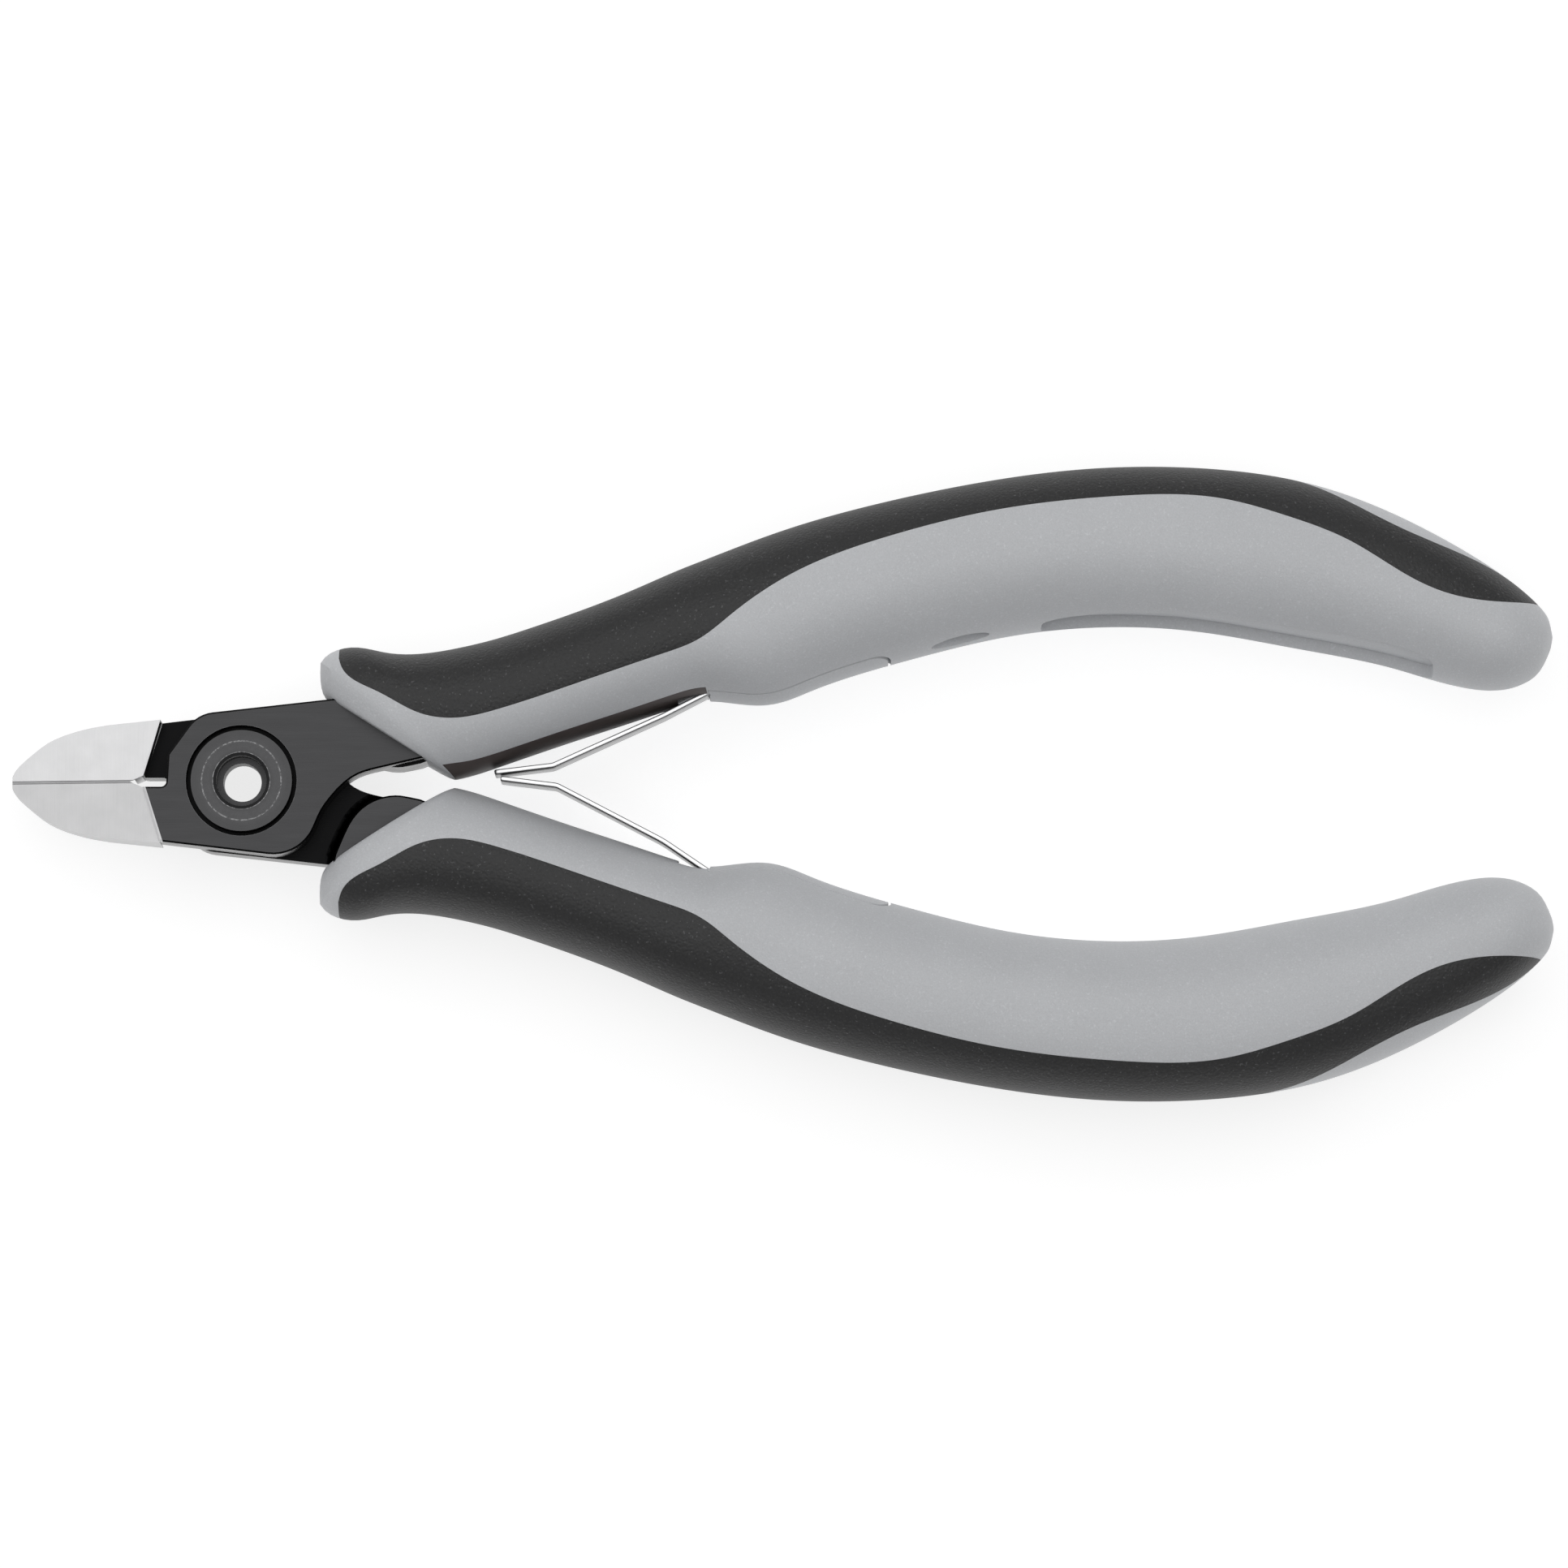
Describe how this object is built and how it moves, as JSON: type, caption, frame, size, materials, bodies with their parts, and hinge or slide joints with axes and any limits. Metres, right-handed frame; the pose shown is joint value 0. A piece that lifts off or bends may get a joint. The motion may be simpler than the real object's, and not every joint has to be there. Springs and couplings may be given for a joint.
{
  "type": "flush cutter",
  "caption": "Spring-opened flush cutter for electronics: lapped steel halves on a hollow pivot, short pointed jaws with a fine bevel, and curved soft-padded grips.",
  "frame": {"origin": "the middle of the pivot, on its axis and on the plane where the two halves meet", "axes": "+X runs from the pivot to the handle ends, +Y across the tool to the upper grip, +Z along the pivot out of the front face"},
  "size_m": [0.1251, 0.0516, 0.015],
  "materials": {
    "burnished_steel": "black-burnished forged tool steel, ground bright at the jaws",
    "burnished_bolt": "turned and black-burnished steel",
    "spring_steel": "bright rolled spring steel",
    "hard_core": "hard black plastic",
    "grey_shell": "fine-grained grey plastic",
    "soft_pad": "grained black soft plastic"
  },
  "bodies": {
    "upper_arm": {"front_half": "burnished_steel", "pivot_bolt": "burnished_bolt", "pivot_nut": "burnished_bolt", "upper_core": "hard_core", "upper_spring_retainer": "grey_shell", "upper_shell": "grey_shell", "upper_pad": "soft_pad"},
    "lower_arm": {"back_half": "burnished_steel", "lower_core": "hard_core", "lower_spring_retainer": "grey_shell", "lower_shell": "grey_shell", "lower_pad": "soft_pad"},
    "upper_spring": {"upper_leaf_spring": "spring_steel"},
    "lower_spring": {"lower_leaf_spring": "spring_steel"}
  },
  "joints": [
    {"name": "jaw_pivot", "type": "hinge", "parent": "upper_arm", "child": "lower_arm", "pos_m": [0, 0, 0], "axis": [0, 0, -1], "range_deg": [0, 14], "stiffness_Nm_per_rad": 1, "springref_deg": 20.05},
    {"name": "upper_spring_flex", "type": "hinge", "parent": "upper_arm", "child": "upper_spring", "pos_m": [0.0384, 0.00761, 0], "axis": [0, 0, 1], "range_deg": [0, 8.2]},
    {"name": "lower_spring_flex", "type": "hinge", "parent": "lower_arm", "child": "lower_spring", "pos_m": [0.0384, -0.00761, 0], "axis": [0, 0, -1], "range_deg": [0, 8.2]}
  ],
  "couplings": [
    {"joint": "upper_spring_flex", "follows": "jaw_pivot", "ratio": 0.575},
    {"joint": "lower_spring_flex", "follows": "jaw_pivot", "ratio": 0.575}
  ]
}
